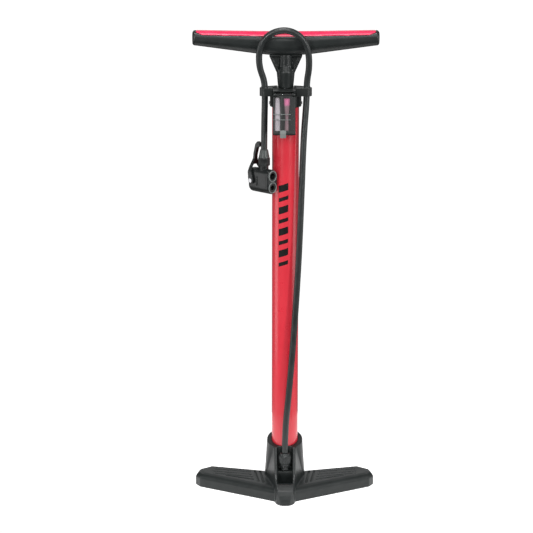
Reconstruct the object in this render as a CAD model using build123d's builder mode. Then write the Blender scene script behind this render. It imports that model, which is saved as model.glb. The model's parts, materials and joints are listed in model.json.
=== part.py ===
from build123d import *
import os
from math import radians, sqrt, tan

# Floor bike pump, millimetres. The origin is on the barrel's axis at the floor, +Z runs up the barrel,
# and -Y is the front, where the hose leaves the base.

os.makedirs("parts", exist_ok=True)

# ---------------------------------------------------------------- driving dimensions
# Barrel
barrel_r = 17.0
barrel_wall = 1.2
bore_r = barrel_r - barrel_wall
barrel_foot_z = 24.0
barrel_top_z = 524.0

# Base moulding
base_floor_t = 12.0
wing_edge_z = 11.5
wing_top_z = 17.8
column_foot_r = 27.5
column_top_r = 22.4
column_h = 79.0
rim_front_z = 61.0
rim_back_z = 73.0
niche_half = 9.85
shelf_z = 33.0
nose_top_z = 23.0

# Hose and the places that hold it
hose_r = 4.0
exit_y = -27.0
gland_top_z = 56.0
clip_x = 26.0
clip_y = -12.0
clip_wall = 2.6
bar_front_y = -18.6
arm_low_z = 521.5
arm_top_z = 532.0

# Cap
cap_r = 19.8
cap_foot_z = 507.0
cap_top_z = 530.0
spigot_foot_z = 508.0
bush_r = 9.0
cap_screw_z = 511.0

# Rod and piston
rod_r = 6.0
rod_bore_r = 4.0
running_gap = 0.05
piston_low_z = 62.0
piston_top_z = 74.0
rod_top_z = 588.0

# Handle
handle_half = 116.0
neck_foot_z = 530.3
neck_top_z = 572.0

# Bottom plug and check valve
plug_foot_z = 12.0
plug_top_z = 46.0
outlet_z = 18.0
ball_r = 3.0
seat_r = 2.0
seat_z = 38.0
chamber_r = 3.6
retainer_top_z = 14.5

# Storage compartment
tray_left = -16.0
tray_right = 12.0
tray_front_y = -31.0
tray_low_z = 475.0
cover_t = 1.3
hinge_y = -29.2
hinge_z = 525.0
hinge_pin_r = 0.8

# Pump head: its own plane has Z along the valve axis and X straight up
head_centre = (-28.5, -12.5, 414.5)
head_plane = Plane(origin=head_centre, x_dir=(0, 0, 1), z_dir=(1, -1, 0))
head_tall = 31.0
head_wide = 17.0
head_rear = -20.0
head_front = 14.0
face_t = 3.0
cavity_tall = 26.0
cavity_wide = 11.4
cavity_rear = -17.8
hole_offset = 7.3
schrader_r = 4.1
presta_r = 3.2
pin_back = -11.0
pin_r = 1.6
ear_in = 8.8
ear_out = 11.4
ferrule_x = -27.0
ferrule_y = -14.0
ferrule_low_z = 434.0
ferrule_top_z = 444.0
hose_end_z = 454.0

# ---------------------------------------------------------------- barrel and cap
with BuildPart() as barrel_tube:
    with BuildSketch(Plane.XY.offset(barrel_foot_z)):
        Circle(barrel_r)
        Circle(bore_r, mode=Mode.SUBTRACT)
    extrude(amount=barrel_top_z - barrel_foot_z)
    # Holes for the two screws that hold the cap
    with BuildSketch(Plane.YZ):
        with Locations((0, cap_screw_z)):
            Circle(1.2)
    extrude(amount=barrel_r + 1, both=True, mode=Mode.SUBTRACT)
barrel_tube.part.label = "barrel_tube"

with BuildPart() as cap_screws:
    for side in (1, -1):
        with BuildSketch(Plane.YZ.offset(side * cap_r)):
            with Locations((0, cap_screw_z)):
                Circle(2.0)
        extrude(amount=side * 1.0)
        with BuildSketch(Plane.YZ.offset(side * cap_r)):
            with Locations((0, cap_screw_z)):
                Circle(1.2)
        extrude(amount=-side * 6.0)
cap_screws.part.label = "cap_screws"

with BuildPart() as barrel_cap:
    # Skirt over the barrel and a disc on its end
    with BuildSketch(Plane.XY.offset(cap_foot_z)):
        Circle(cap_r)
    extrude(amount=cap_top_z - cap_foot_z)
    fillet(barrel_cap.edges().group_by(Axis.Z)[-1], radius=2.5)
    with BuildSketch(Plane.XY.offset(cap_foot_z)):
        Circle(barrel_r)
        Circle(bore_r, mode=Mode.SUBTRACT)
    extrude(amount=barrel_top_z - cap_foot_z, mode=Mode.SUBTRACT)
    with BuildSketch(Plane.XY.offset(cap_foot_z)):
        Circle(barrel_r)
    extrude(amount=spigot_foot_z - cap_foot_z, mode=Mode.SUBTRACT)
    # A bar on each side that ends in a hose clip, with a sloping rib on its top
    for side, inner, inner_back in ((1, 12.8, -12.5), (-1, 16.3, -8.0)):
        with BuildSketch(Plane.XY.offset(arm_low_z)):
            with BuildLine():
                Polyline((side * inner, inner_back), (side * inner, bar_front_y),
                         (side * clip_x, bar_front_y),
                         (side * clip_x, clip_y + 6.6), (side * 17.8, -3.5), (side * inner, inner_back))
            make_face()
            with Locations((side * clip_x, clip_y)):
                Circle(hose_r + clip_wall)
        extrude(amount=arm_top_z - arm_low_z)
        with BuildSketch(Plane.XZ.offset(2.0)):
            with BuildLine():
                Polyline((side * 10.4, 528), (side * 10.4, 533.4), (side * 31, arm_top_z), (side * 31, 528),
                         (side * 10.4, 528))
            make_face()
        extrude(amount=5.5)
    with BuildSketch(Plane.XY.offset(arm_low_z)):
        with Locations((clip_x, clip_y), (-clip_x, clip_y)):
            Circle(hose_r)
        # The clips are open behind, narrower than the hose so that they hold it
        with Locations((clip_x, clip_y + 5), (-clip_x, clip_y + 5)):
            Rectangle(5.6, 10)
    extrude(amount=arm_top_z + 5 - arm_low_z, mode=Mode.SUBTRACT)
    # Bore for the rod's bush, and the screw holes
    with BuildSketch(Plane.XY.offset(cap_foot_z)):
        Circle(bush_r)
    extrude(amount=cap_top_z - cap_foot_z, mode=Mode.SUBTRACT)
    with BuildSketch(Plane.YZ):
        with Locations((0, cap_screw_z)):
            Circle(1.2)
    extrude(amount=cap_r + 1, both=True, mode=Mode.SUBTRACT)
barrel_cap.part.label = "barrel_cap"

with BuildPart() as rod_bush:
    with BuildSketch(Plane.XY.offset(spigot_foot_z)):
        Circle(bush_r)
        Circle(rod_r + running_gap, mode=Mode.SUBTRACT)
    extrude(amount=19.0)
rod_bush.part.label = "rod_bush"

with BuildPart() as rod_wiper:
    with BuildSketch(Plane.XY.offset(spigot_foot_z + 19.0)):
        Circle(bush_r)
        Circle(rod_r + running_gap, mode=Mode.SUBTRACT)
    extrude(amount=2.6)
rod_wiper.part.label = "rod_wiper"

# ---------------------------------------------------------------- bottom plug and check valve
groove_z = 30.0
groove_half = 1.4
ring_minor = 1.15
ring_major = bore_r - 1.2
with BuildPart() as barrel_plug:
    with BuildSketch(Plane.XY.offset(plug_foot_z)):
        Circle(barrel_r)
    extrude(amount=barrel_foot_z - plug_foot_z)
    with BuildSketch(Plane.XY.offset(barrel_foot_z)):
        Circle(bore_r)
    extrude(amount=plug_top_z - barrel_foot_z)
    with BuildSketch(Plane.XY.offset(groove_z - groove_half)):
        Circle(bore_r)
        Circle(ring_major - ring_minor - 0.05, mode=Mode.SUBTRACT)
    extrude(amount=2 * groove_half, mode=Mode.SUBTRACT)
    # Air inlet, ball chamber and outlet
    with BuildSketch(Plane.XY.offset(plug_foot_z)):
        Circle(chamber_r)
    extrude(amount=seat_z - plug_foot_z, mode=Mode.SUBTRACT)
    with BuildSketch(Plane.XY.offset(seat_z)):
        Circle(seat_r)
    extrude(amount=plug_top_z - seat_z, mode=Mode.SUBTRACT)
    with BuildSketch(Plane.XZ):
        with Locations((0, outlet_z)):
            Circle(4.0)
    extrude(amount=barrel_r, mode=Mode.SUBTRACT)
    # Pilot holes for the base screws
    with BuildSketch(Plane.XY.offset(plug_foot_z)):
        with Locations((10.5, 5), (-10.5, 5)):
            Circle(1.6)
    extrude(amount=11.0, mode=Mode.SUBTRACT)
barrel_plug.part.label = "barrel_plug"

with BuildPart() as plug_o_ring:
    with Locations((0, 0, groove_z)):
        Torus(ring_major, ring_minor)
plug_o_ring.part.label = "plug_o_ring"

ball_z = seat_z - sqrt(ball_r**2 - seat_r**2) - 0.08
with BuildPart() as check_ball:
    with Locations((0, 0, ball_z)):
        Sphere(ball_r)
check_ball.part.label = "check_ball"

spring_wire_r = 0.3
spring_low_z = retainer_top_z + spring_wire_r + 0.05
spring_len = ball_z - ball_r - spring_wire_r - 0.6 - spring_low_z
with BuildPart() as check_spring:
    with BuildLine():
        coil = Helix(pitch=spring_len / 5.0, height=spring_len, radius=2.0, center=(0, 0, spring_low_z))
    with BuildSketch(Plane(origin=coil @ 0, z_dir=coil % 0)):
        Circle(spring_wire_r)
    sweep(is_frenet=True)
check_spring.part.label = "check_spring"

with BuildPart() as valve_retainer:
    with BuildSketch(Plane.XY.offset(plug_foot_z)):
        Circle(chamber_r)
    extrude(amount=retainer_top_z - plug_foot_z)
    with BuildSketch(Plane.XY.offset(plug_foot_z)):
        Rectangle(5.0, 1.0)
    extrude(amount=1.0, mode=Mode.SUBTRACT)
valve_retainer.part.label = "valve_retainer"

barb_r = 2.6
with BuildPart() as outlet_elbow:
    with BuildSketch(Plane.XZ.offset(4.2)):
        with Locations((0, outlet_z)):
            Circle(4.0)
    extrude(amount=-exit_y - 4.2)
    with BuildSketch(Plane.XY.offset(outlet_z - 4.0)):
        with Locations((0, exit_y)):
            Circle(4.0)
    extrude(amount=shelf_z - outlet_z + 4.0)
    with BuildSketch(Plane.XY.offset(shelf_z)):
        with Locations((0, exit_y)):
            Circle(barb_r)
    extrude(amount=gland_top_z - 6.0 - shelf_z)
    with BuildSketch(Plane.XZ.offset(4.2)):
        with Locations((0, outlet_z)):
            Circle(1.5)
    extrude(amount=-exit_y - 4.2, mode=Mode.SUBTRACT)
    with BuildSketch(Plane.XY.offset(outlet_z)):
        with Locations((0, exit_y)):
            Circle(1.5)
    extrude(amount=gland_top_z - outlet_z, mode=Mode.SUBTRACT)
outlet_elbow.part.label = "outlet_elbow"

with BuildPart() as base_screws:
    with Locations((10.5, 5, 0), (-10.5, 5, 0)):
        with Locations((0, 0, 3.0)):
            Cylinder(3.4, 2.4, align=(Align.CENTER, Align.CENTER, Align.MIN))
        with Locations((0, 0, 5.4)):
            Cylinder(1.6, 15.0, align=(Align.CENTER, Align.CENTER, Align.MIN))
base_screws.part.label = "base_screws"

# ---------------------------------------------------------------- base
# Corners of one wing seen from above, at its edge and at its tread
wing_low = [(8, -60.5), (14, -57.2), (102, -10.0), (112, -4.5), (118, 5), (115.5, 18), (99, 29),
            (20, 9.5), (8, 9.5)]
wing_high = [(8, -51), (14, -48), (98, -2.5), (105, 1.5), (108.5, 8), (106, 18), (96.5, 25.5),
             (20, 6.5), (8, 6.5)]
# How far from edge to tread the wing's outline has come, against how far it has risen
wing_steps = [(0.0, 0.0), (0.13, 0.42), (0.42, 0.80), (1.0, 1.0)]
# Half outline of the prow at the floor and at its top
prow_low = [(0, 8), (20, 8), (27, -12), (24.5, -22), (20.8, -38), (14.6, -55), (11.6, -66),
            (6.5, -71.5), (0, -73.5)]
prow_high = [(0, 8), (15, 8), (17.2, -12), (13.2, -22), (8.5, -38), (8.2, -55), (6.8, -63), (4, -67.5),
             (0, -68.5)]
prow_h = 62.0
# Centre lines of the tread's grooves: two nested borders along the inner end, then lines along the wing
tread_grooves = [
    ((33, 8.5), (27, -36)),
    ((40, 10.5), (34, -32)),
    ((47, 11.0), (92, 22.0)),
    ((45, 3.0), (94, 14.5)),
    ((43.5, -6.0), (95, 6.5)),
    ((42, -15.0), (94, -1.0)),
    ((40.5, -24.0), (78, -8.5)),
]
groove_deep = 1.7
groove_wide = 2.1

with BuildPart() as base_foot:
    # Two swept wings, each a slab under a lofted tread
    with BuildSketch():
        Polygon(*wing_low, align=None)
        mirror(about=Plane.YZ)
    extrude(amount=wing_edge_z)
    for side in (1, -1):
        for lower, upper in zip(wing_steps, wing_steps[1:]):
            for share, rise in (lower, upper):
                with BuildSketch(Plane.XY.offset(wing_edge_z + rise * (wing_top_z - wing_edge_z))):
                    Polygon(*[(side * (a + share * (c - a)), b + share * (d - b))
                              for (a, b), (c, d) in zip(wing_low, wing_high)], align=None)
            loft(ruled=True)
    # Grooves in each tread: a border along its inner end and front, and lines along the wing inside it
    for side in (1, -1):
        with BuildSketch(Plane.XY.offset(wing_top_z)):
            for start, end in tread_grooves:
                with BuildLine():
                    Line((side * start[0], start[1]), (side * end[0], end[1]))
                trace(line_width=groove_wide)
        extrude(amount=-groove_deep, mode=Mode.SUBTRACT)
    # Round column, and a prow drawn out of it to the nose in front, narrower towards its top
    with BuildSketch():
        Circle(column_foot_r)
    with BuildSketch(Plane.XY.offset(column_h)):
        Circle(column_top_r)
    loft()
    with BuildSketch():
        Polygon(*prow_low, align=None)
        mirror(about=Plane.YZ)
    with BuildSketch(Plane.XY.offset(prow_h)):
        Polygon(*prow_high, align=None)
        mirror(about=Plane.YZ)
    loft(ruled=True)
    # Heel behind the column
    with BuildSketch():
        with Locations((0, 18)):
            RectangleRounded(40, 34, 10)
    extrude(amount=wing_edge_z)
    # Raked rim, and the sweep from it down to the nose
    with BuildSketch(Plane.YZ):
        with BuildLine():
            Polyline((-85, 100), (50, 100), (50, rim_back_z + 7.5), (-20.5, rim_front_z), (-24, 57),
                     (-28.5, 50.5),
                     (-33, 44), (-38, 38), (-43.5, 32), (-49, 27), (-54, 23.5), (-59, 20.5), (-64, 17.2),
                     (-68, 12.8), (-71, 6.5), (-72.3, -1), (-85, -1), (-85, 100))
        make_face()
    extrude(amount=40.0, both=True, mode=Mode.SUBTRACT)
    # Seat for the plug and barrel
    with BuildSketch(Plane.XY.offset(base_floor_t)):
        Circle(barrel_r)
    extrude(amount=80.0, mode=Mode.SUBTRACT)
    # Niche for the hose, open to the front, with a shelf and a deep pocket before it
    with BuildSketch(Plane.YZ):
        with BuildLine():
            Polyline((-18.7, shelf_z), (-35.5, shelf_z), (-34, 14), (-50, 14), (-50, nose_top_z),
                     (-80, nose_top_z), (-80, 90), (-18.7, 90), (-18.7, shelf_z))
        make_face()
    extrude(amount=niche_half, both=True, mode=Mode.SUBTRACT)
    # Room for the outlet elbow
    with BuildSketch(Plane.XY.offset(base_floor_t)):
        with Locations((0, exit_y)):
            Circle(4.6)
        with Locations((0, exit_y / 2 - 4)):
            Rectangle(9.2, -exit_y / 2 + 9)
    extrude(amount=12.5, mode=Mode.SUBTRACT)
    with BuildSketch(Plane.XY.offset(base_floor_t)):
        with Locations((0, exit_y)):
            Circle(4.6)
    extrude(amount=shelf_z - base_floor_t, mode=Mode.SUBTRACT)
    # Counterbored holes for the base screws
    with Locations((10.5, 5, 0), (-10.5, 5, 0)):
        Cylinder(3.4, 5.4, align=(Align.CENTER, Align.CENTER, Align.MIN), mode=Mode.SUBTRACT)
        Cylinder(1.6, 20.0, align=(Align.CENTER, Align.CENTER, Align.MIN), mode=Mode.SUBTRACT)
base_foot.part.label = "base_foot"

# Strain relief that the hose comes out of
with BuildPart() as hose_gland:
    with BuildSketch(Plane.XZ.offset(-exit_y)):
        with BuildLine():
            Polyline((0, shelf_z), (5.8, shelf_z), (7.2, shelf_z + 12), (8.1, shelf_z + 13),
                     (8.1, gland_top_z - 3),
                     (6.2, gland_top_z), (0, gland_top_z), (0, shelf_z))
        make_face()
    revolve(axis=Axis((0, exit_y, 0), (0, 0, 1)))
    with BuildSketch(Plane.XY.offset(shelf_z)):
        with Locations((0, exit_y)):
            Circle(barb_r)
    extrude(amount=gland_top_z - shelf_z, mode=Mode.SUBTRACT)
hose_gland.part.label = "hose_gland"

# ---------------------------------------------------------------- hose
hose_route = [
    (0.0, -27.0, 56.0),
    (0.0, -27.0, 86.0),
    (4.4, -26.5, 131.0),
    (10.4, -25.0, 205.0),
    (16.6, -22.5, 305.0),
    (19.9, -19.0, 392.0),
    (22.4, -14.5, 470.0),
    (26.0, -12.0, 515.0),
    (26.0, -12.0, 539.0),
    (29.2, -17.0, 558.0),
    (27.6, -21.5, 580.0),
    (20.0, -23.5, 595.0),
    (5.8, -24.5, 603.7),
    (-10.8, -24.8, 603.7),
    (-25.5, -24.0, 595.5),
    (-33.2, -21.0, 580.0),
    (-33.2, -16.5, 558.0),
    (-26.0, -12.0, 539.0),
    (-26.0, -12.0, 515.0),
    (-26.7, -13.2, 484.0),
    (-27.0, -14.0, 454.0),
]
points = [Vector(*p) for p in hose_route]
hose_radii = []
for before, at, after in zip(points, points[1:], points[2:]):
    shorter = min((at - before).length, (after - at).length)
    turn = (at - before).get_angle(after - at)
    hose_radii.append(0.45 * shorter / tan(radians(turn) / 2))
print("hose radii", [round(r, 1) for r in hose_radii])

with BuildPart() as hose:
    with BuildLine() as hose_line:
        FilletPolyline(*hose_route, radius=hose_radii)
    with BuildSketch(Plane(origin=hose_route[0], z_dir=(0, 0, 1))):
        Circle(hose_r)
    sweep()
hose.part.label = "hose"
hose_length = sum(e.length for e in hose_line.edges())
print("hose length", round(hose_length, 1), "volume", round(hose.part.volume / (3.14159 * hose_r**2), 1))

# ---------------------------------------------------------------- pump head
with BuildPart() as head_body:
    with BuildSketch(head_plane.offset(head_rear)):
        SlotOverall(head_tall, head_wide)
    extrude(amount=head_front - head_rear)
    fillet(head_body.faces().sort_by(Axis(head_centre, (1, -1, 0)))[0].edges(), radius=5.5)
    # Neck under the ferrule
    with BuildSketch(Plane.XY.offset(head_centre[2])):
        with Locations((ferrule_x, ferrule_y)):
            Circle(5.6)
    extrude(amount=ferrule_low_z - head_centre[2])
    # Chamber for the seals, plunger and cam
    with BuildSketch(head_plane.offset(cavity_rear)):
        SlotOverall(cavity_tall, cavity_wide)
    extrude(amount=head_front - cavity_rear, mode=Mode.SUBTRACT)
    with BuildSketch(Plane.XY.offset(head_centre[2])):
        with Locations((ferrule_x, ferrule_y)):
            Circle(barb_r)
    extrude(amount=ferrule_low_z - head_centre[2], mode=Mode.SUBTRACT)
    # Bore of the lever pin
    with BuildSketch(Plane(origin=head_centre, x_dir=(1, -1, 0), z_dir=(-1, -1, 0))):
        with Locations((pin_back, 0)):
            Circle(pin_r + running_gap)
    extrude(amount=head_wide, both=True, mode=Mode.SUBTRACT)
head_body.part.label = "head_body"

with BuildPart() as head_face:
    with BuildSketch(head_plane.offset(head_front)):
        SlotOverall(head_tall, head_wide)
        with Locations((hole_offset, 0)):
            Circle(schrader_r, mode=Mode.SUBTRACT)
        with Locations((-hole_offset, 0)):
            Circle(presta_r, mode=Mode.SUBTRACT)
    extrude(amount=face_t)
    fillet(head_face.faces().sort_by(Axis(head_centre, (1, -1, 0)))[-1].outer_wire().edges(), radius=1.5)
head_face.part.label = "head_face"

seal_len = 8.5
with BuildPart() as schrader_seal:
    with BuildSketch(head_plane.offset(head_front - seal_len)):
        with Locations((hole_offset, 0)):
            Circle(5.6)
            Circle(schrader_r, mode=Mode.SUBTRACT)
    extrude(amount=seal_len)
schrader_seal.part.label = "schrader_seal"

with BuildPart() as presta_seal:
    with BuildSketch(head_plane.offset(head_front - seal_len)):
        with Locations((-hole_offset, 0)):
            Circle(5.6)
            Circle(presta_r, mode=Mode.SUBTRACT)
    extrude(amount=seal_len)
presta_seal.part.label = "presta_seal"

cam_r = 4.4
cam_throw = 2.2
cam_play = 0.9
plunger_rear = pin_back + cam_r + cam_play
plunger_len = 6.0
with BuildPart() as head_plunger:
    with BuildSketch(head_plane.offset(plunger_rear)):
        SlotOverall(cavity_tall - 0.7, cavity_wide - 0.7)
        with Locations((hole_offset, 0), (-hole_offset, 0)):
            Circle(1.2, mode=Mode.SUBTRACT)
    extrude(amount=plunger_len)
head_plunger.part.label = "head_plunger"

pin_plane = Plane(origin=head_centre, x_dir=(1, -1, 0), z_dir=(-1, -1, 0))
with BuildPart() as lever_pin:
    with BuildSketch(pin_plane):
        with Locations((pin_back, 0)):
            Circle(pin_r)
    extrude(amount=ear_out + 0.1, both=True)
    for start in (ear_out + 0.1, -ear_out - 0.9):
        with BuildSketch(pin_plane.offset(start)):
            with Locations((pin_back, 0)):
                Circle(2.6)
        extrude(amount=0.8)
lever_pin.part.label = "lever_pin"

with BuildPart() as lever_cam:
    with BuildSketch(pin_plane.offset(-5.2)):
        with Locations((pin_back, -cam_throw)):
            Circle(cam_r)
        with Locations((pin_back, 0)):
            Circle(pin_r, mode=Mode.SUBTRACT)
    extrude(amount=10.4)
lever_cam.part.label = "lever_cam"

# Two ears on the pin run up into one bar, with a pad at the top that leans to the hose
with BuildPart() as head_lever:
    with BuildSketch(pin_plane):
        with BuildLine():
            Polyline((pin_back - 4.2, 0), (-16.4, 16), (-14.6, 34), (-11.6, 45.5), (-8.0, 49.0), (-4.0, 47.4),
                     (-3.5, 43.0), (-8.6, 41.0), (-11.6, 31), (-12.8, 18.5), (pin_back + 4.2, 0))
            ThreePointArc((pin_back + 4.2, 0), (pin_back, -4.2), (pin_back - 4.2, 0))
        make_face()
    extrude(amount=ear_out, both=True)
    with BuildSketch(Plane(origin=head_centre, x_dir=(1, 1, 0), z_dir=(1, -1, 0))):
        with BuildLine():
            Polyline((-ear_out, -6), (-ear_out, 11), (-6.0, 21), (-2.6, 27), (-2.2, 52), (2.2, 52), (2.6, 27),
                     (6.0, 21), (ear_out, 11), (ear_out, -6), (ear_in, -6), (ear_in, 12.5), (3.4, 19.5),
                     (-3.4, 19.5), (-ear_in, 12.5), (-ear_in, -6), (-ear_out, -6))
        make_face()
    extrude(amount=30.0, both=True, mode=Mode.INTERSECT)
    with BuildSketch(pin_plane):
        with Locations((pin_back, 0)):
            Circle(pin_r)
    extrude(amount=ear_out + 1, both=True, mode=Mode.SUBTRACT)
head_lever.part.label = "head_lever"

with BuildPart() as hose_ferrule:
    with BuildSketch(Plane.XY.offset(ferrule_low_z)):
        with Locations((ferrule_x, ferrule_y)):
            Circle(7.5)
            Circle(barb_r, mode=Mode.SUBTRACT)
    extrude(amount=ferrule_top_z - ferrule_low_z)
    chamfer(hose_ferrule.edges().filter_by(GeomType.CIRCLE).sort_by(SortBy.LENGTH)[-2:], length=0.8)
hose_ferrule.part.label = "hose_ferrule"

with BuildPart() as ferrule_cone:
    with BuildSketch(Plane.XZ.offset(-ferrule_y)):
        with BuildLine():
            Polyline((ferrule_x, ferrule_top_z), (ferrule_x + 6.8, ferrule_top_z),
                     (ferrule_x + 5.0, hose_end_z),
                     (ferrule_x, hose_end_z), (ferrule_x, ferrule_top_z))
        make_face()
    revolve(axis=Axis((ferrule_x, ferrule_y, 0), (0, 0, 1)))
    with BuildSketch(Plane.XY.offset(ferrule_top_z)):
        with Locations((ferrule_x, ferrule_y)):
            Circle(barb_r)
    extrude(amount=hose_end_z - ferrule_top_z, mode=Mode.SUBTRACT)
ferrule_cone.part.label = "ferrule_cone"

barb_low_z = head_centre[2] + cavity_tall / 2
with BuildPart() as head_barb:
    with BuildSketch(Plane.XY.offset(barb_low_z)):
        with Locations((ferrule_x, ferrule_y)):
            Circle(barb_r)
            Circle(1.5, mode=Mode.SUBTRACT)
    extrude(amount=hose_end_z - 2.0 - barb_low_z)
head_barb.part.label = "head_barb"

# ---------------------------------------------------------------- storage compartment
tray_mid = (tray_left + tray_right) / 2
tray_w = tray_right - tray_left
knuckle_r = 1.7
with BuildPart() as storage_tray:
    with BuildSketch(Plane.XY.offset(tray_low_z)):
        with BuildLine():
            Polyline((tray_left, -8), (tray_left, tray_front_y), (tray_right, tray_front_y),
                     (tray_right, -8),
                     (tray_left, -8))
        make_face()
    extrude(amount=cap_top_z - tray_low_z)
    # Hollow for the spare nozzles, open to the front
    with BuildSketch(Plane.XY.offset(tray_low_z + 4.0)):
        with Locations((tray_mid, tray_front_y + 4.8)):
            Rectangle(tray_w - 3.0, 9.6)
    extrude(amount=cap_top_z - 5.0 - tray_low_z, mode=Mode.SUBTRACT)
    # Rebate that the cover closes into
    with BuildSketch(Plane.XY.offset(tray_low_z + 1.5)):
        with Locations((tray_mid, tray_front_y)):
            Rectangle(tray_w + 2, 2 * cover_t + 0.6)
    extrude(amount=hinge_z + 2.3 - tray_low_z - 1.5, mode=Mode.SUBTRACT)
    # Room for the cover's knuckle between two lugs
    with BuildSketch(Plane.XY.offset(hinge_z - 3.0)):
        with Locations((tray_mid, tray_front_y + 2.2)):
            Rectangle(tray_w - 8.0, 5.0)
    extrude(amount=5.3, mode=Mode.SUBTRACT)
    for lug_x in (tray_left + 2.0, tray_right - 2.0):
        with BuildSketch(Plane.YZ.offset(lug_x)):
            with Locations((hinge_y, hinge_z)):
                Circle(knuckle_r)
            with Locations((hinge_y + 2.0, hinge_z + 0.8)):
                Rectangle(4.0, 3.2)
        extrude(amount=2.0, both=True)
    with BuildSketch(Plane.YZ.offset(tray_mid)):
        with Locations((hinge_y, hinge_z)):
            Circle(hinge_pin_r)
    extrude(amount=tray_w / 2 - 1.0, both=True, mode=Mode.SUBTRACT)
    # Back fitted round the barrel, and round the cap's skirt above it
    with BuildSketch(Plane.XY.offset(tray_low_z)):
        Circle(barrel_r)
    extrude(amount=cap_foot_z - tray_low_z, mode=Mode.SUBTRACT)
    with BuildSketch(Plane.XY.offset(cap_foot_z)):
        Circle(cap_r)
    extrude(amount=cap_top_z - cap_foot_z, mode=Mode.SUBTRACT)
storage_tray.part.label = "storage_tray"

with BuildPart() as cover_hinge_pin:
    with BuildSketch(Plane.YZ.offset(tray_mid)):
        with Locations((hinge_y, hinge_z)):
            Circle(hinge_pin_r)
    extrude(amount=tray_w / 2 - 1.0, both=True)
cover_hinge_pin.part.label = "cover_hinge_pin"

cover_low_z = tray_low_z + 2.0
with BuildPart() as storage_cover:
    with BuildSketch(Plane.XY.offset(cover_low_z)):
        with Locations((tray_mid, tray_front_y + cover_t / 2)):
            Rectangle(tray_w - 0.6, cover_t)
    extrude(amount=hinge_z - 2.4 - cover_low_z)
    with BuildSketch(Plane.XY.offset(cover_low_z)):
        with Locations((tray_mid, tray_front_y + cover_t / 2)):
            Rectangle(tray_w - 9.2, cover_t)
    extrude(amount=hinge_z + 0.5 - cover_low_z)
    with BuildSketch(Plane.YZ.offset(tray_mid)):
        with Locations((hinge_y, hinge_z)):
            Circle(knuckle_r)
    extrude(amount=tray_w / 2 - 4.6, both=True)
    with BuildSketch(Plane.YZ.offset(tray_mid)):
        with Locations((hinge_y, hinge_z)):
            Circle(hinge_pin_r + running_gap)
    extrude(amount=tray_w / 2, both=True, mode=Mode.SUBTRACT)
storage_cover.part.label = "storage_cover"

with BuildPart() as cover_latch:
    with BuildSketch(Plane.YZ.offset(-3.5)):
        with BuildLine():
            Polyline((tray_front_y, 471.5), (tray_front_y, 481), (tray_front_y - 0.8, 481),
                     (tray_front_y - 1.6, 477),
                     (tray_front_y - 1.6, 471.5), (tray_front_y, 471.5))
        make_face()
    extrude(amount=3.8, both=True)
cover_latch.part.label = "cover_latch"

nozzle_y = -25.6
with BuildPart() as nozzle_adapter:
    with BuildSketch(Plane.XZ.offset(-nozzle_y)):
        with BuildLine():
            Polyline((1.2, 480.0), (3.8, 480.0), (3.2, 496), (4.6, 511), (5.0, 520.0), (1.2, 520.0),
                     (1.2, 480.0))
        make_face()
    revolve(axis=Axis((1.2, nozzle_y, 0), (0, 0, 1)))
nozzle_adapter.part.label = "nozzle_adapter"

# A pale tapered nozzle in the left bay
spare_x = -10.4
with BuildPart() as spare_nozzle:
    with BuildSketch(Plane.XZ.offset(-nozzle_y)):
        with BuildLine():
            Polyline((spare_x, 480.0), (spare_x + 3.9, 480.0), (spare_x + 3.9, 500), (spare_x + 3.3, 517),
                     (spare_x + 2.4, 521.0), (spare_x, 521.0), (spare_x, 480.0))
        make_face()
    revolve(axis=Axis((spare_x, nozzle_y, 0), (0, 0, 1)))
spare_nozzle.part.label = "spare_nozzle"

# ---------------------------------------------------------------- handle, rod and piston
with BuildPart() as handle_neck:
    # A web with two spread ribs, and pockets between the ribs and the round stem
    with BuildSketch(Plane.XZ):
        with BuildLine():
            Polyline((-20.5, neck_top_z), (-20.5, 570), (-11.0, 549), (11.0, 549), (20.5, 570),
                     (20.5, neck_top_z),
                     (-20.5, neck_top_z))
        make_face()
    extrude(amount=7.0, both=True)
    for face_y in (-7.0, 7.0):
        with BuildSketch(Plane.XZ.offset(-face_y)):
            for side in (1, -1):
                with BuildLine():
                    Polyline((side * 7.0, 569.5), (side * 17.6, 569.5), (side * 9.6, 554.5),
                             (side * 7.0, 552),
                             (side * 7.0, 569.5))
                make_face()
        extrude(amount=4.0 if face_y > 0 else -4.0, mode=Mode.SUBTRACT)
    with BuildSketch(Plane.XY.offset(neck_foot_z)):
        Circle(9.6)
    with BuildSketch(Plane.XY.offset(550.0)):
        Circle(11.4)
    loft()
    with BuildSketch(Plane.XY.offset(550.0)):
        Circle(11.4)
    with BuildSketch(Plane.XY.offset(558.0)):
        Circle(8.6)
    loft()
    with BuildSketch(Plane.XY.offset(558.0)):
        Circle(8.6)
    extrude(amount=neck_top_z - 558.0)
    with BuildSketch(Plane.XY.offset(neck_foot_z)):
        Circle(rod_r)
    extrude(amount=neck_top_z - neck_foot_z, mode=Mode.SUBTRACT)
handle_neck.part.label = "handle_neck"


# (distance from the middle, depth, height, centre height) of the grip's sections
grip_sections = [(0.0, 29.0, 31.0, 584.8), (35.0, 28.0, 27.8, 586.6), (112.0, 24.0, 18.4, 592.3)]
with BuildPart() as grip_form:
    for side in (1, -1):
        for inner, outer in zip(grip_sections, grip_sections[1:]):
            for reach, depth, height, centre_z in (inner, outer):
                plane = Plane(origin=(side * reach, 0, centre_z), x_dir=(0, 1, 0), z_dir=(1, 0, 0))
                with BuildSketch(plane):
                    RectangleRounded(depth, height, 0.43 * min(depth, height))
            loft(ruled=True)
        tip = Plane(origin=(side * 112.0, 0, 592.3), x_dir=(0, 1, 0), z_dir=(side, 0, 0))
        with BuildSketch(tip):
            RectangleRounded(24.0, 18.4, 0.43 * 18.4)
        extrude(amount=handle_half - 112.0)
    fillet(grip_form.faces().sort_by(Axis.X)[-1].edges(), radius=3.0)
    fillet(grip_form.faces().sort_by(Axis.X)[0].edges(), radius=3.0)

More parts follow.
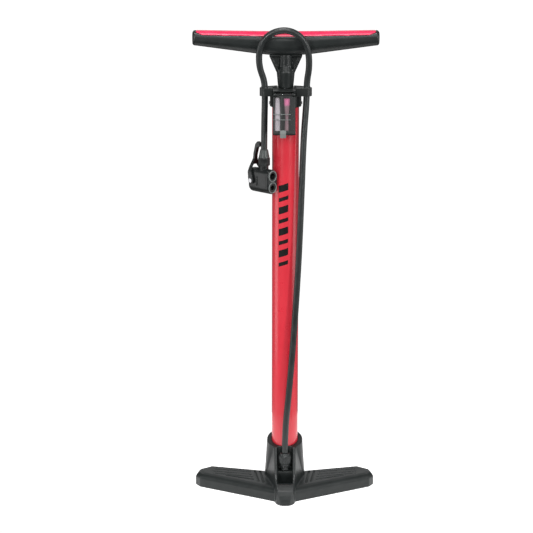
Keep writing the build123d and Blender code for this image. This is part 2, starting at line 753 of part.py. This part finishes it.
# The inlay is the top of the grip's own form, above a line that dips towards the middle
with BuildPart() as handle_inlay:
    add(grip_form.part)
    with BuildSketch(Plane.XZ):
        with BuildLine():
            Polyline((-111.5, 604), (-111.5, 599.8), (-103, 596.6), (0, 594.9), (103, 596.6),
                     (111.5, 599.8),
                     (111.5, 604), (-111.5, 604))
        make_face()
    extrude(amount=20.0, both=True, mode=Mode.INTERSECT)
handle_inlay.part.label = "handle_inlay"

with BuildPart() as handle_grip:
    add(grip_form.part)
    add(handle_inlay.part, mode=Mode.SUBTRACT)
    add(handle_neck.part, mode=Mode.SUBTRACT)
    with BuildSketch(Plane.XY.offset(neck_foot_z)):
        Circle(rod_r)
    extrude(amount=rod_top_z - neck_foot_z, mode=Mode.SUBTRACT)
    with BuildSketch(Plane.XY.offset(rod_top_z)):
        Circle(6.5)
    extrude(amount=6.0, mode=Mode.SUBTRACT)
handle_grip.part.label = "handle_grip"

with BuildPart() as piston_rod:
    with BuildSketch(Plane.XY.offset(piston_top_z)):
        Circle(rod_r)
        Circle(rod_bore_r, mode=Mode.SUBTRACT)
    extrude(amount=rod_top_z - piston_top_z)
piston_rod.part.label = "piston_rod"

with BuildPart() as handle_screw:
    with BuildSketch(Plane.XY.offset(rod_top_z)):
        Circle(6.5)
    extrude(amount=4.5)
    with BuildSketch(Plane.XY.offset(rod_top_z - 22.0)):
        Circle(rod_bore_r)
    extrude(amount=22.0)
    with BuildSketch(Plane.XY.offset(rod_top_z + 2.0)):
        RegularPolygon(3.0, 6)
    extrude(amount=2.5, mode=Mode.SUBTRACT)
handle_screw.part.label = "handle_screw"

seal_minor = 1.45
seal_major = bore_r - 0.1 - seal_minor
with BuildPart() as piston_head:
    with BuildSketch(Plane.XY.offset(piston_low_z)):
        Circle(bore_r - 0.35)
    extrude(amount=piston_top_z - piston_low_z)
    with BuildSketch(Plane.XY.offset(68.0 - seal_minor - 0.2)):
        Circle(bore_r)
        Circle(seal_major - seal_minor - 0.05, mode=Mode.SUBTRACT)
    extrude(amount=2 * seal_minor + 0.4, mode=Mode.SUBTRACT)
    with BuildSketch(Plane.XY.offset(piston_low_z)):
        Circle(rod_bore_r)
    extrude(amount=piston_top_z - piston_low_z, mode=Mode.SUBTRACT)
piston_head.part.label = "piston_head"

with BuildPart() as piston_seal:
    with Locations((0, 0, 68.0)):
        Torus(seal_major, seal_minor)
piston_seal.part.label = "piston_seal"

with BuildPart() as piston_washer:
    with BuildSketch(Plane.XY.offset(piston_low_z - 1.5)):
        Circle(9.0)
        Circle(rod_bore_r, mode=Mode.SUBTRACT)
    extrude(amount=1.5)
piston_washer.part.label = "piston_washer"

with BuildPart() as piston_bolt:
    with BuildSketch(Plane.XY.offset(piston_low_z - 7.0)):
        RegularPolygon(7.5, 6)
    extrude(amount=5.5)
    with BuildSketch(Plane.XY.offset(piston_low_z - 1.5)):
        Circle(rod_bore_r)
    extrude(amount=30.0)
piston_bolt.part.label = "piston_bolt"

# ---------------------------------------------------------------- files
for piece in (
    base_foot, base_screws, barrel_tube, barrel_plug, plug_o_ring, check_ball, check_spring, valve_retainer,
    outlet_elbow, hose_gland, barrel_cap, cap_screws, rod_bush, rod_wiper, storage_tray, cover_hinge_pin,
    storage_cover, cover_latch, nozzle_adapter, spare_nozzle, hose, hose_ferrule, ferrule_cone, head_barb,
    head_body, head_face, schrader_seal, presta_seal, head_plunger, lever_pin, lever_cam, head_lever,
    handle_grip, handle_inlay, handle_neck, handle_screw, piston_rod, piston_head, piston_seal, piston_washer,
    piston_bolt,
):
    export_step(piece.part, f"parts/{piece.part.label}.step")
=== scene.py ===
import json
import math

import bmesh
import bpy
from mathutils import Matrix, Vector


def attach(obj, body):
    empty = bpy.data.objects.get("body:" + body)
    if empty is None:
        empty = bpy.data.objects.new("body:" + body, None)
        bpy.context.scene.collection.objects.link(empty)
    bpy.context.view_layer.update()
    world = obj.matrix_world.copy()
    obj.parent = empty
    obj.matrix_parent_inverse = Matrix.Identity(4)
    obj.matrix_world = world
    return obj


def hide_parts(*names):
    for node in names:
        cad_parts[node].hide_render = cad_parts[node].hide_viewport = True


# The looks of a floor bike pump, built round its CAD frame. -Y is the front. Camera, lights and the hose's
# route are in metres; the moulded and printed details are in millimetres, which MM turns into metres.
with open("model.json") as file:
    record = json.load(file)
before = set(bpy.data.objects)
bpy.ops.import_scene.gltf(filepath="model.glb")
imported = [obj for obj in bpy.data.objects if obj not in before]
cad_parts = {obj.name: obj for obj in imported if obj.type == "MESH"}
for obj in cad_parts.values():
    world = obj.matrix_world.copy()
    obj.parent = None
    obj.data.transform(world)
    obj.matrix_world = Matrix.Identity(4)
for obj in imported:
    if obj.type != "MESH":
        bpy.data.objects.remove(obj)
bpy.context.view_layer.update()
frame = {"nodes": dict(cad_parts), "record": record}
nodes = frame["nodes"]
MM = 0.001


# ---------------------------------------------------------------- camera, light, floor
def make_camera():
    """A long lens some 0.2 m above the handle, looking down at the pump."""
    look_down = 13.9
    data = bpy.data.cameras.new("camera")
    data.sensor_width = 36.0
    data.lens = 112.4
    cam = bpy.data.objects.new("camera", data)
    cam.location = (-0.024, -2.075, 0.813)
    cam.rotation_euler = (math.radians(90.0 - look_down), 0.0, 0.0)
    bpy.context.collection.objects.link(cam)
    bpy.context.scene.camera = cam


def area_light(name, place, target, size, size_y, power):
    data = bpy.data.lights.new(name, "AREA")
    data.shape = "RECTANGLE"
    data.size = size
    data.size_y = size_y
    data.energy = power
    light = bpy.data.objects.new(name, data)
    light.location = place
    light.rotation_euler = (Vector(target) - Vector(place)).to_track_quat("-Z", "Y").to_euler()
    bpy.context.collection.objects.link(light)


def make_studio():
    """White to the camera, dimmer even light for all else, long soft lamps, and a pale disc as floor."""
    light_level = 0.17
    backdrop_level = 1.05
    world = bpy.data.worlds.new("studio")
    world.use_nodes = True
    tree = world.node_tree
    background = tree.nodes["Background"]
    ray = tree.nodes.new("ShaderNodeLightPath")
    level = tree.nodes.new("ShaderNodeMapRange")
    level.inputs["To Min"].default_value = light_level
    level.inputs["To Max"].default_value = backdrop_level
    tree.links.new(ray.outputs["Is Camera Ray"], level.inputs["Value"])
    tree.links.new(level.outputs["Result"], background.inputs["Strength"])
    background.inputs["Color"].default_value = (1.0, 1.0, 1.0, 1.0)
    bpy.context.scene.world = world
    bpy.context.scene.view_settings.view_transform = "Standard"
    middle = (0.0, 0.0, 0.32)
    area_light("strip_left", (-0.62, -1.05, 0.76), middle, 0.13, 0.8, 6.0)
    area_light("strip_right", (0.85, -1.0, 0.76), middle, 0.19, 0.8, 7.5)
    area_light("front", (0.15, -1.7, 1.6), middle, 0.8, 0.8, 9.0)
    area_light("top", (0.0, -0.42, 1.75), middle, 0.6, 0.16, 11.0)
    area_light("back", (0.0, 1.3, 0.9), middle, 1.4, 1.4, 3.0)
    area_light("side_left", (-1.2, -0.15, 0.4), middle, 0.7, 1.2, 5.0)
    area_light("side_right", (1.2, -0.15, 0.4), middle, 0.7, 1.2, 4.0)

    mesh = bpy.data.meshes.new("floor")
    floor_r = 0.30
    corners = 72
    turns = [math.radians(360 // corners * i) for i in range(corners)]
    rim = [(floor_r * math.cos(turn), floor_r * math.sin(turn), 0.0) for turn in turns]
    mesh.from_pydata(rim, [], [tuple(range(corners))])
    floor = bpy.data.objects.new("floor", mesh)
    bpy.context.collection.objects.link(floor)
    mat = bpy.data.materials.new("floor_white")
    mat.use_nodes = True
    shader = mat.node_tree.nodes["Principled BSDF"]
    shader.inputs["Base Color"].default_value = (0.8, 0.8, 0.8, 1.0)
    shader.inputs["Roughness"].default_value = 0.9
    shader.inputs["Specular IOR Level"].default_value = 0.1
    shader.inputs["Emission Color"].default_value = (1.0, 1.0, 1.0, 1.0)
    shader.inputs["Emission Strength"].default_value = 0.72
    floor.data.materials.append(mat)


# ---------------------------------------------------------------- materials
class Finish:
    """A node material with one Principled shader, and short calls for the nodes round it."""

    def __init__(self, name, colour, roughness, metallic=0.0):
        self.mat = bpy.data.materials.new(name)
        self.mat.use_nodes = True
        self.tree = self.mat.node_tree
        self.shader = self.tree.nodes["Principled BSDF"]
        self.shader.inputs["Base Color"].default_value = (*colour, 1.0)
        self.shader.inputs["Roughness"].default_value = roughness
        self.shader.inputs["Metallic"].default_value = metallic
        self.place = self.tree.nodes.new("ShaderNodeTexCoord").outputs["Object"]
        self.height = None

    def link(self, out, socket):
        self.tree.links.new(out, socket)

    def noise(self, scale, detail=4.0, stretch=(1.0, 1.0, 1.0)):
        """Noise in object space, in cycles per metre, and stretched along an axis if asked."""
        mapping = self.tree.nodes.new("ShaderNodeMapping")
        mapping.inputs["Scale"].default_value = stretch
        self.link(self.place, mapping.inputs["Vector"])
        tex = self.tree.nodes.new("ShaderNodeTexNoise")
        tex.inputs["Scale"].default_value = scale
        tex.inputs["Detail"].default_value = detail
        self.link(mapping.outputs["Vector"], tex.inputs["Vector"])
        return tex.outputs["Fac"]

    def span(self, value, low, high, in_low=0.3, in_high=0.7):
        """value, mapped from in_low..in_high to low..high."""
        node = self.tree.nodes.new("ShaderNodeMapRange")
        node.inputs["From Min"].default_value = in_low
        node.inputs["From Max"].default_value = in_high
        node.inputs["To Min"].default_value = low
        node.inputs["To Max"].default_value = high
        self.link(value, node.inputs["Value"])
        return node.outputs["Result"]

    def mix(self, factor, first, second):
        """A colour that goes from first to second with factor."""
        node = self.tree.nodes.new("ShaderNodeMix")
        node.data_type = "RGBA"
        self.link(factor, node.inputs["Factor"])
        node.inputs["A"].default_value = (*first, 1.0)
        node.inputs["B"].default_value = (*second, 1.0)
        return node.outputs["Result"]

    def bump(self, value, depth):
        """Adds value as relief, depth metres high, on top of what is there."""
        node = self.tree.nodes.new("ShaderNodeBump")
        node.inputs["Strength"].default_value = 1.0
        node.inputs["Distance"].default_value = depth
        self.link(value, node.inputs["Height"])
        if self.height is not None:
            self.link(self.height, node.inputs["Normal"])
        self.height = node.outputs["Normal"]
        self.link(self.height, self.shader.inputs["Normal"])


def moulded_plastic(name, colour, rough_low, rough_high, depth=0.00002):
    """Injection-moulded plastic: fine spark-eroded grain, and slow changes of gloss and shade."""
    f = Finish(name, colour, rough_low)
    slow = f.noise(38.0, 3.0)
    fine = f.noise(2600.0, 2.0)
    f.link(f.span(slow, rough_low, rough_high), f.shader.inputs["Roughness"])
    lighter = tuple(min(1.0, c * 1.3 + 0.003) for c in colour)
    f.link(f.mix(f.span(f.noise(90.0, 5.0), 0.0, 1.0), colour, lighter), f.shader.inputs["Base Color"])
    f.bump(fine, depth)
    f.shader.inputs["Specular IOR Level"].default_value = 0.36
    return f


def paint_red():
    """Sprayed gloss enamel on the steel barrel: faint orange peel under a clear coat."""
    f = Finish("red_paint", (0.68, 0.026, 0.045), 0.32)
    f.link(f.mix(f.span(f.noise(14.0, 2.0), 0.0, 1.0), (0.66, 0.024, 0.042), (0.71, 0.032, 0.052)),
           f.shader.inputs["Base Color"])
    f.link(f.span(f.noise(60.0, 3.0), 0.26, 0.36), f.shader.inputs["Roughness"])
    f.shader.inputs["Coat Weight"].default_value = 0.45
    f.shader.inputs["Coat Roughness"].default_value = 0.12
    f.bump(f.noise(900.0, 2.0), 0.000015)
    return f


def rubber(name, colour, rough_low, rough_high):
    f = Finish(name, colour, rough_low)
    f.link(f.span(f.noise(120.0, 4.0), rough_low, rough_high), f.shader.inputs["Roughness"])
    dusty = tuple(c * 1.5 + 0.004 for c in colour)
    f.link(f.mix(f.span(f.noise(45.0, 6.0), 0.0, 1.0), colour, dusty), f.shader.inputs["Base Color"])
    f.bump(f.noise(3200.0, 2.0), 0.00002)
    return f


def metal(name, colour, rough_low, rough_high):
    """Turned or drawn metal, with fine lines drawn out along its height."""
    f = Finish(name, colour, rough_low, 1.0)
    lines = f.noise(2400.0, 3.0, stretch=(1.0, 1.0, 0.04))
    f.link(f.span(lines, rough_low, rough_high), f.shader.inputs["Roughness"])
    darker = tuple(c * 0.8 for c in colour)
    f.link(f.mix(f.span(f.noise(70.0, 4.0), 0.0, 1.0), colour, darker), f.shader.inputs["Base Color"])
    f.bump(lines, 0.000006)
    return f


def clear_plastic():
    """Smoky clear cover, thin enough to see the spare nozzles through."""
    f = Finish("clear_plastic", (0.16, 0.165, 0.165), 0.06)
    f.shader.inputs["IOR"].default_value = 1.46
    f.link(f.span(f.noise(50.0, 3.0), 0.04, 0.12), f.shader.inputs["Roughness"])
    f.shader.inputs["Alpha"].default_value = 0.14
    return f


def print_ink():
    """Screen-printed ink: dull, nearly black, with no relief to speak of."""
    f = moulded_plastic("print_ink", (0.003, 0.003, 0.003), 0.45, 0.55, depth=0.000004)
    f.shader.inputs["Specular IOR Level"].default_value = 0.25
    return f


def nozzle_pink():
    """The pink nozzle adapter: bright at its tip, duller below it."""
    f = Finish("pink_plastic", (0.62, 0.16, 0.30), 0.35)
    height = f.tree.nodes.new("ShaderNodeSeparateXYZ")
    f.link(f.place, height.inputs["Vector"])
    step = f.span(height.outputs["Z"], 0.0, 1.0, 0.5105, 0.5125)
    f.link(f.mix(step, (0.34, 0.20, 0.235), (0.88, 0.22, 0.45)), f.shader.inputs["Base Color"])
    f.link(f.span(f.noise(160.0), 0.30, 0.42), f.shader.inputs["Roughness"])
    return f


finishes = {
    "black_plastic": moulded_plastic("black_plastic", (0.0105, 0.0130, 0.0128), 0.31, 0.41),
    "cap_plastic": moulded_plastic("cap_plastic", (0.0105, 0.0125, 0.0122), 0.31, 0.42),
    "head_plastic": moulded_plastic("head_plastic", (0.0085, 0.0100, 0.0100), 0.24, 0.36),
    "grey_plastic": moulded_plastic("grey_plastic", (0.15, 0.165, 0.16), 0.28, 0.38),
    "smoke_plastic": moulded_plastic("smoke_plastic", (0.045, 0.052, 0.050), 0.12, 0.22),
    # Pale lilac-grey for the liner in the cover's left bay: a painted reflection, a pale sheet standing in
    # for lamp light reflected off the clear cover's left facet.
    "pale_plastic": moulded_plastic("pale_plastic", (0.52, 0.47, 0.51), 0.35, 0.5),
    "print_ink": print_ink(),
    "red_plastic": moulded_plastic("red_plastic", (0.66, 0.022, 0.080), 0.30, 0.40),
    "pink_plastic": nozzle_pink(),
    "bush_plastic": moulded_plastic("bush_plastic", (0.62, 0.62, 0.57), 0.35, 0.5),
    "red_paint": paint_red(),
    "hose_rubber": rubber("hose_rubber", (0.0115, 0.0140, 0.0140), 0.30, 0.42),
    "seal_rubber": rubber("seal_rubber", (0.010, 0.010, 0.010), 0.5, 0.65),
    "steel": metal("steel", (0.66, 0.66, 0.68), 0.34, 0.46),
    "rod_chrome": metal("rod_chrome", (0.82, 0.82, 0.84), 0.07, 0.14),
    "brass": metal("brass", (0.78, 0.58, 0.28), 0.2, 0.34),
    "clear_plastic": clear_plastic(),
}
slot_of = {row["node"]: row["material_slot"] for row in frame["record"]["subparts"]}


# Rounding of the moulded parts: voxel size and number of smoothing steps
rounding = {
    "base_foot": (0.70, 3),
    "handle_grip": (0.75, 6),
    "handle_inlay": (0.55, 3),
    "handle_neck": (0.45, 5),
    "barrel_cap": (0.40, 3),
    "head_body": (0.40, 4),
    "head_lever": (0.32, 3),
}


def dress_cad_nodes():
    """Every CAD node gets its slot's finish, and the moulded ones get rounded edges."""
    sharp_from = math.radians(30)
    for name, obj in nodes.items():
        obj.data.materials.clear()
        obj.data.materials.append(finishes[slot_of[name]].mat)
        obj.data.polygons.foreach_set("use_smooth", [True] * len(obj.data.polygons))
        if name in rounding:
            voxel, steps = rounding[name]
            remesh = obj.modifiers.new("round_off", "REMESH")
            remesh.mode = "VOXEL"
            remesh.voxel_size = voxel * MM
            remesh.use_smooth_shade = True
            relax = obj.modifiers.new("relax", "SMOOTH")
            relax.factor = 0.5
            relax.iterations = steps
        else:
            obj.data.set_sharp_from_angle(angle=sharp_from)


def add_piece(name, mesh, body, slot):
    """Puts a finished mesh into the scene as a piece that rides on a body."""
    piece = bpy.data.objects.new(name, mesh)
    bpy.context.collection.objects.link(piece)
    mesh.materials.append(finishes[slot].mat)
    mesh.shade_smooth()
    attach(piece, body)
    return piece


# ---------------------------------------------------------------- hose
HOSE_D = 0.008
hose_route = [
    (0.0, -0.027, 0.056),
    (0.0, -0.027, 0.086),
    (0.0044, -0.0265, 0.131),
    (0.0104, -0.025, 0.205),
    (0.0166, -0.0225, 0.305),
    (0.0199, -0.019, 0.392),
    (0.0224, -0.0145, 0.470),
    (0.026, -0.012, 0.515),
    (0.026, -0.012, 0.539),
    (0.0292, -0.017, 0.558),
    (0.0276, -0.0215, 0.580),
    (0.020, -0.0235, 0.595),
    (0.0058, -0.0245, 0.6037),
    (-0.0108, -0.0248, 0.6037),
    (-0.0255, -0.024, 0.5955),
    (-0.0332, -0.021, 0.580),
    (-0.0332, -0.0165, 0.558),
    (-0.026, -0.012, 0.539),
    (-0.026, -0.012, 0.515),
    (-0.0267, -0.0132, 0.484),
    (-0.027, -0.014, 0.454),
]


def make_hose():
    curve = bpy.data.curves.new("hose_tube", "CURVE")
    curve.dimensions = "3D"
    line = curve.splines.new("NURBS")
    line.points.add(len(hose_route) - 1)
    for point, place in zip(line.points, hose_route):
        point.co = (*place, 1.0)
    line.order_u = 3
    line.use_endpoint_u = True
    line.resolution_u = 12
    curve.bevel_depth = HOSE_D / 2
    curve.bevel_resolution = 8
    curve.materials.append(finishes["hose_rubber"].mat)
    hose = bpy.data.objects.new("hose_tube", curve)
    bpy.context.collection.objects.link(hose)
    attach(hose, "pump")
    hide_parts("hose")


# ---------------------------------------------------------------- moulded and printed details
def ring_faces(rings, steps):
    """The faces between rings of points that follow each other, with steps points in each ring."""
    faces = []
    for ring in range(rings - 1):
        for i in range(steps):
            j = (i + 1) % steps
            faces.append((ring * steps + i, ring * steps + j, (ring + 1) * steps + j, (ring + 1) * steps + i))
    return faces


def turned(name, centre, rows, ribs, steps=96):
    """A mesh turned about a vertical axis; rows hold (radius, z, depth between ribs) from end to end."""
    verts = []
    for radius, z, depth in rows:
        for i in range(steps):
            angle = 2 * math.pi * i / steps
            r = radius - depth * (0.5 + 0.5 * math.cos(ribs * angle)) ** 2
            x = centre[0] + r * math.cos(angle)
            y = centre[1] + r * math.sin(angle)
            verts.append((x * MM, y * MM, z * MM))
    mesh = bpy.data.meshes.new(name)
    mesh.from_pydata(verts, [], ring_faces(len(rows), steps))
    return mesh


def rounded_box(name, low, high, edge):
    """A box between two corners in millimetres, with rounded edges."""
    bm = bmesh.new()
    bmesh.ops.create_cube(bm, size=1.0)
    for vert in bm.verts:
        for axis in range(3):
            vert.co[axis] = (low[axis] + (high[axis] - low[axis]) * (vert.co[axis] + 0.5)) * MM
    bmesh.ops.bevel(bm, geom=bm.edges[:], offset=edge * MM, segments=3, profile=0.5, affect="EDGES")
    mesh = bpy.data.meshes.new(name)
    bm.to_mesh(mesh)
    bm.free()
    return mesh


def add_gland():
    """Strain relief: a plain shoulder, lengthwise ribs, then rings that narrow to its foot."""
    rows = [(4.0, 55.4, 0), (4.4, 56.0, 0), (6.0, 56.0, 0), (6.5, 55.4, 0), (6.5, 53.2, 0), (7.7, 52.8, 0),
            (8.1, 52.2, 0), (8.1, 51.6, 1.0), (8.1, 43.8, 1.0), (8.1, 43.2, 0), (7.8, 42.6, 0)]
    z = 42.0
    lowest_ring = 34.5
    ring_pitch = 2.1
    radius = 7.6
    narrowing = 0.45
    groove = 1.1
    while z > lowest_ring:
        rows += [(radius - groove, z, 0), (radius - groove, z - 0.7, 0)]
        rows += [(radius, z - 1.0, 0), (radius, z - 1.9, 0)]
        z -= ring_pitch
        radius -= narrowing
    rows += [(5.4, 33.2, 0), (4.0, 33.2, 0)]
    mesh = turned("gland_ribbed", (0.0, -27.0), rows, ribs=18, steps=160)
    gland = add_piece("gland_ribbed", mesh, "pump", "hose_rubber")
    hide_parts("hose_gland")


def add_ferrule():
    """Ribbed sleeve that clamps the hose on the head's barb."""
    rows = [(4.0, 434.0, 0), (6.9, 434.0, 0), (7.4, 434.5, 0), (7.5, 435.2, 0.7), (7.5, 442.6, 0.7),
            (7.4, 443.4, 0), (6.9, 444.0, 0), (4.0, 444.0, 0)]
    mesh = turned("ferrule_ribbed", (-27.0, -14.0), rows, ribs=22)
    ferrule = add_piece("ferrule_ribbed", mesh, "pump", "head_plastic")
    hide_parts("hose_ferrule")


HEAD = Vector((-28.5, -12.5, 414.5))
HEAD_OUT = Vector((1.0, -1.0, 0.0)).normalized()
HEAD_SIDE = Vector((-1.0, -1.0, 0.0)).normalized()


def on_head(out, side, up):
    """A point given in millimetres in the head's own axes, as metres in the shared frame."""
    return (HEAD + HEAD_OUT * out + HEAD_SIDE * side + Vector((0, 0, up))) * MM


def add_face_rims():
    """Raised rim round each valve hole of the head's face."""
    for name, up in (("rim_upper", 7.3), ("rim_lower", -7.3)):
        section = [(6.95, 16.6), (6.95, 17.6), (6.7, 17.9), (6.1, 17.9), (5.85, 17.6), (5.85, 16.9)]
        verts = []
        steps = 56
        for radius, out in section:
            for i in range(steps):
                angle = 2 * math.pi * i / steps
                verts.append(on_head(out, radius * math.cos(angle), up + radius * math.sin(angle)))
        mesh = bpy.data.meshes.new(name)
        mesh.from_pydata(verts, [], ring_faces(len(section), steps))
        add_piece(name, mesh, "pump", "grey_plastic")


def head_block(name, low, high, edge, slot):
    """A rounded box between two corners in millimetres in the head's own axes (out, side, up)."""
    mesh = rounded_box(name, low, high, edge)
    for vert in mesh.vertices:
        out, side, up = vert.co / MM
        vert.co = on_head(out, side, up)
    mesh.flip_normals()
    add_piece(name, mesh, "pump", slot)


def add_compartment():
    """The divider behind the clear cover, and the band and ribs moulded on the cover."""
    divider = rounded_box("tray_divider", (-6.4, -28.8, 479.2), (-4.4, -21.5, 524.0), 0.25)
    add_piece("tray_divider", divider, "pump", "cap_plastic")
    band = rounded_box("cover_band", (-15.7, -31.3, 524.2), (11.7, -30.6, 526.0), 0.2)
    add_piece("cover_band", band, "cover", "cap_plastic")
    half_rib = 0.4
    for name, z in (("cover_rib_high", 501.0), ("cover_rib_low", 494.2)):
        rib = rounded_box(name, (-15.4, -31.7, z - half_rib), (6.0, -30.9, z + half_rib), 0.15)
        add_piece(name, rib, "cover", "grey_plastic")


def add_print():
    """Plain slanted bars printed down the barrel's front, tall and short by turns."""
    radius = 17.03
    left = -8.5
    wide = 12.0
    middle = left + wide / 2
    tall_bar = 9.0
    short_bar = 5.0
    columns = 8
    bars = 8
    gap = 7.0
    slant = 0.35
    verts = []
    faces = []
    z = 410.0
    for count in range(bars):
        tall = tall_bar if count % 2 == 0 else short_bar
        start = len(verts)
        for i in range(columns + 1):
            across = left + wide * i / columns
            angle = math.asin(across / radius)
            lean = slant * (across - middle)
            for edge in (z + lean, z - tall + lean):
                verts.append((radius * math.sin(angle) * MM, -radius * math.cos(angle) * MM, edge * MM))
        for i in range(columns):
            k = start + 2 * i
            faces.append((k, k + 1, k + 3, k + 2))
        z -= tall + gap
    mesh = bpy.data.meshes.new("barrel_print")
    mesh.from_pydata(verts, [], faces)
    add_piece("barrel_print", mesh, "pump", "print_ink")


make_camera()
make_studio()
dress_cad_nodes()
make_hose()
add_gland()
add_ferrule()
add_face_rims()
head_block("side_rib", (-3.4, 8.0, -6.0), (-1.6, 9.4, 6.0), 0.6, "head_plastic")
add_compartment()
add_print()
